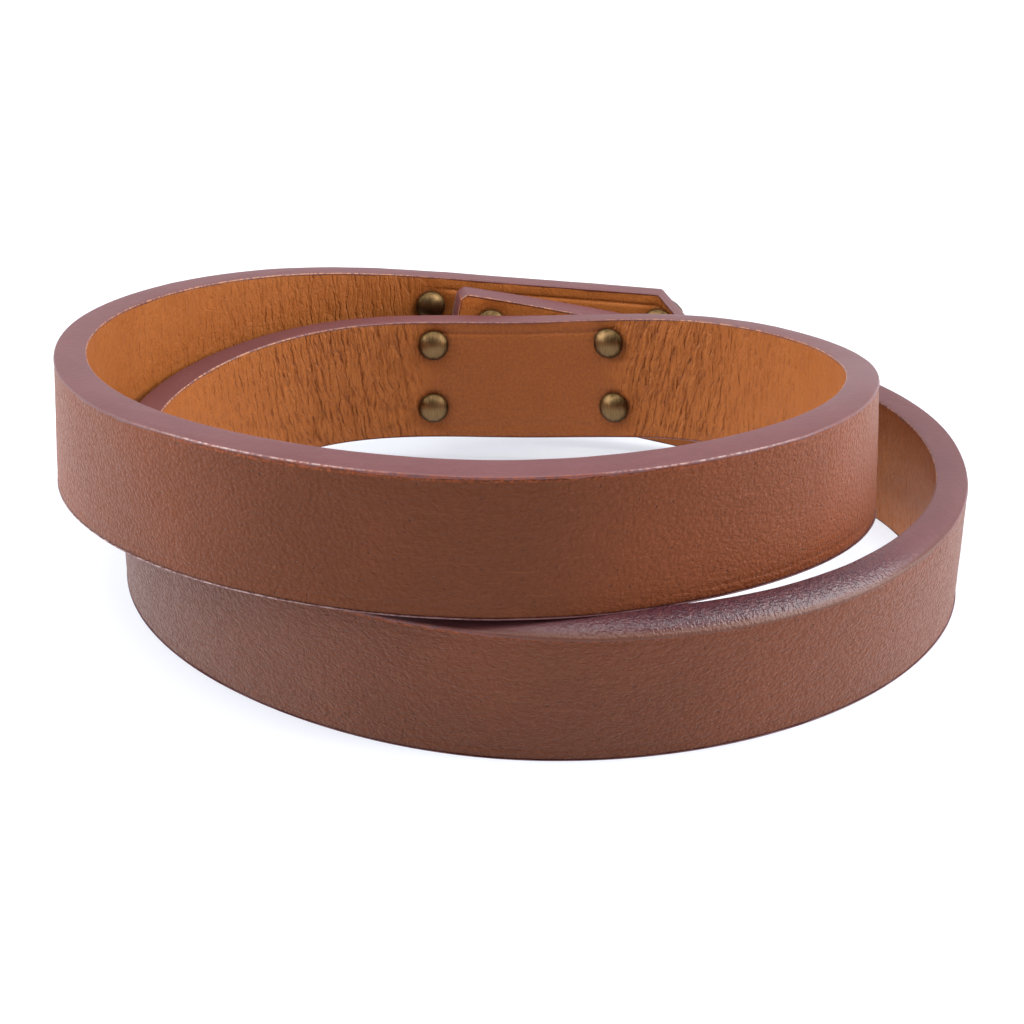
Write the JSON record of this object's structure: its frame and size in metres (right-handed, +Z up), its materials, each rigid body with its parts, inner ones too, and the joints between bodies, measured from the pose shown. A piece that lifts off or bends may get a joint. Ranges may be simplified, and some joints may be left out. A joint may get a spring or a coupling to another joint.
{
  "type": "leather wrap bracelet",
  "caption": "Lined leather strap wrapped twice round the wrist, standing on its edge, with painted edges, domed brass rivets and a riveted plate clasp at the back.",
  "frame": {"origin": "on the table, under the middle of the bracelet's box", "axes": "+Z up along the strap's width, -Y towards the front where the turns cross, +Y towards the clasp, +X right as seen from the front"},
  "size_m": [0.0662, 0.0721, 0.0204],
  "materials": {
    "outer_leather": "grained, satin",
    "lining_leather": "smooth, creased, satin",
    "edge_paint": "painted edge, semi-gloss",
    "rivet_brass": "antique, burnished"
  },
  "bodies": {
    "root": {"outer_leather": "outer_leather", "lining_leather": "lining_leather", "middle_rivet_left_upper": "rivet_brass", "middle_rivet_left_lower": "rivet_brass", "middle_rivet_right_upper": "rivet_brass", "middle_rivet_right_lower": "rivet_brass", "end_rivet_left_upper": "rivet_brass", "end_rivet_left_lower": "rivet_brass", "end_rivet_right_upper": "rivet_brass", "end_rivet_right_lower": "rivet_brass", "tongue_rivet_upper": "rivet_brass", "tongue_rivet_lower": "rivet_brass", "clasp": "rivet_brass"}
  },
  "joints": []
}
